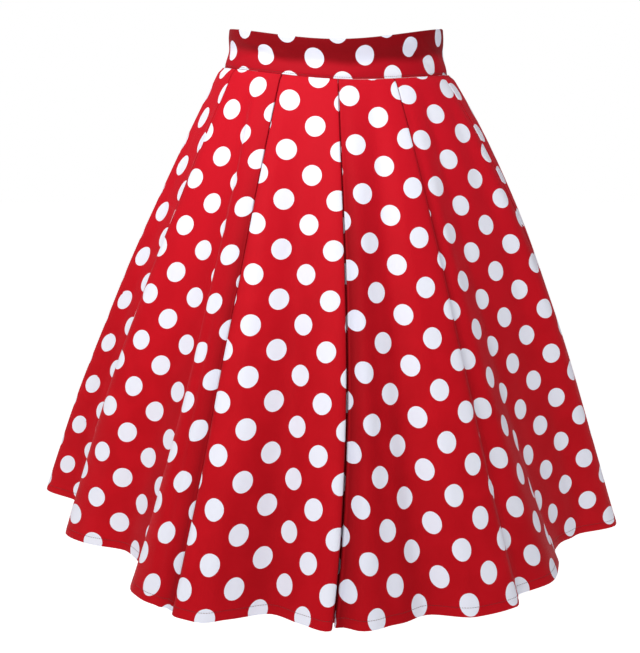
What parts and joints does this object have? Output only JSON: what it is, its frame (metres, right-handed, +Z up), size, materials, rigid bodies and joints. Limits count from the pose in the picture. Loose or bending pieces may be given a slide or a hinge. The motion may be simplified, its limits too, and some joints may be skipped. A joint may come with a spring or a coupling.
{
  "type": "pleated skirt",
  "caption": "Flared knee-length skirt with box pleats folded into a straight waistband, open at waist and hem, with a concealed zip and hinged pull tab at the back.",
  "frame": {"origin": "on the skirt's axis, half-way up the waistband, where the wearer's waist holds it", "axes": "+Z up out of the waist, -Y to the front, +X to the right as seen from the front"},
  "size_m": [0.7505, 0.7682, 0.6241],
  "materials": {
    "dotted_cloth": "red cotton with a printed white dot",
    "band_cloth": "the same cotton, in shade",
    "zip_tape_cloth": "woven tape",
    "zip_metal": "lacquered to match"
  },
  "bodies": {
    "garment": {"skirt_front": "dotted_cloth", "skirt_back_left": "dotted_cloth", "skirt_back_right": "dotted_cloth", "waistband_front": "band_cloth", "waistband_back_left": "band_cloth", "waistband_back_right": "band_cloth", "zip_tape": "zip_tape_cloth", "zip_slider": "zip_metal"},
    "pull_tab": {"zip_pull": "zip_metal"}
  },
  "joints": [
    {"name": "pull_swing", "type": "hinge", "parent": "garment", "child": "pull_tab", "pos_m": [0, 0.11051, 0.01264], "axis": [1, 0, 0], "range_deg": [0, 165]}
  ]
}
